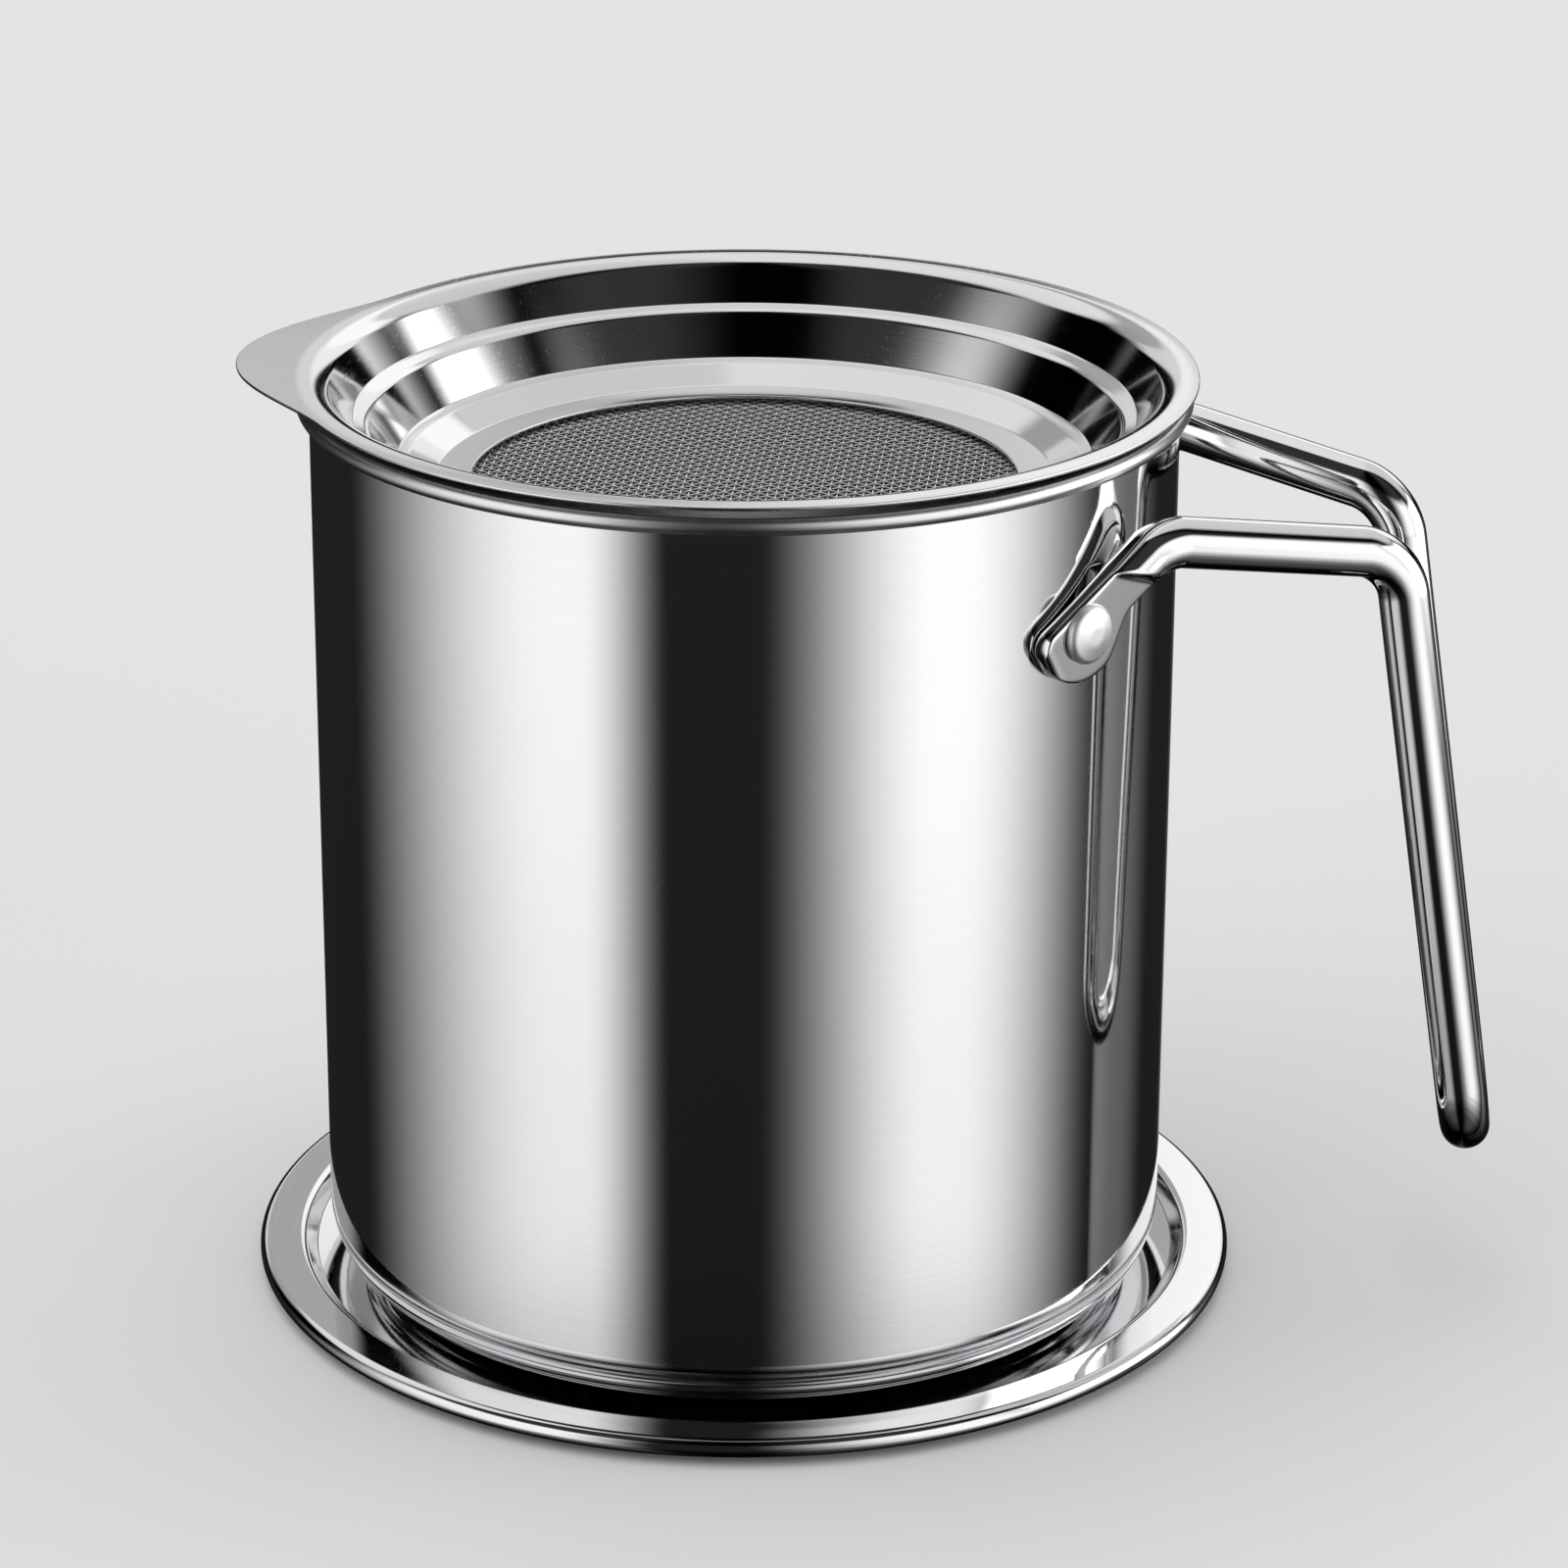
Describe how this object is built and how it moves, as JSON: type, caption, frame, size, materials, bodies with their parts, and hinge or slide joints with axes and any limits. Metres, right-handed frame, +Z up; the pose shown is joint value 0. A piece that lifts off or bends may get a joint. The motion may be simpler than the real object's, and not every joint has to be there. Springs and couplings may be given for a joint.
{
  "type": "bacon grease container",
  "caption": "Stainless steel grease pot with curled rim, riveted rod handle and lift-out stepped strainer with tab and mesh bottom, standing in a shallow flanged drip tray.",
  "frame": {"origin": "centre of the drip tray's flat underside, on the pot's axis", "axes": "+Z up along the pot's axis, +X towards the handle, -X towards the strainer's lifting tab"},
  "size_m": [0.178, 0.1408, 0.133],
  "materials": {
    "tray_steel": "polished pressed steel",
    "pot_steel": "mirror polished",
    "strainer_steel": "bright inside with a satin tab",
    "net_wire": "woven wire",
    "ring_steel": "polished pressed steel",
    "handle_steel": "mirror polished",
    "rivet_steel": "bright domed"
  },
  "bodies": {
    "tray": {"drip_tray": "tray_steel"},
    "pot": {"pot_body": "pot_steel", "handle_rod": "handle_steel", "rivet_near": "rivet_steel", "rivet_far": "rivet_steel"},
    "strainer": {"strainer_pan": "strainer_steel", "strainer_net": "net_wire", "net_ring": "ring_steel"}
  },
  "joints": [
    {"name": "pot_lift", "type": "slide", "parent": "tray", "child": "pot", "axis": [0, 0, 1], "range_m": [0, 0.06]},
    {"name": "strainer_lift", "type": "slide", "parent": "pot", "child": "strainer", "axis": [0, 0, 1], "range_m": [0, 0.06]}
  ]
}
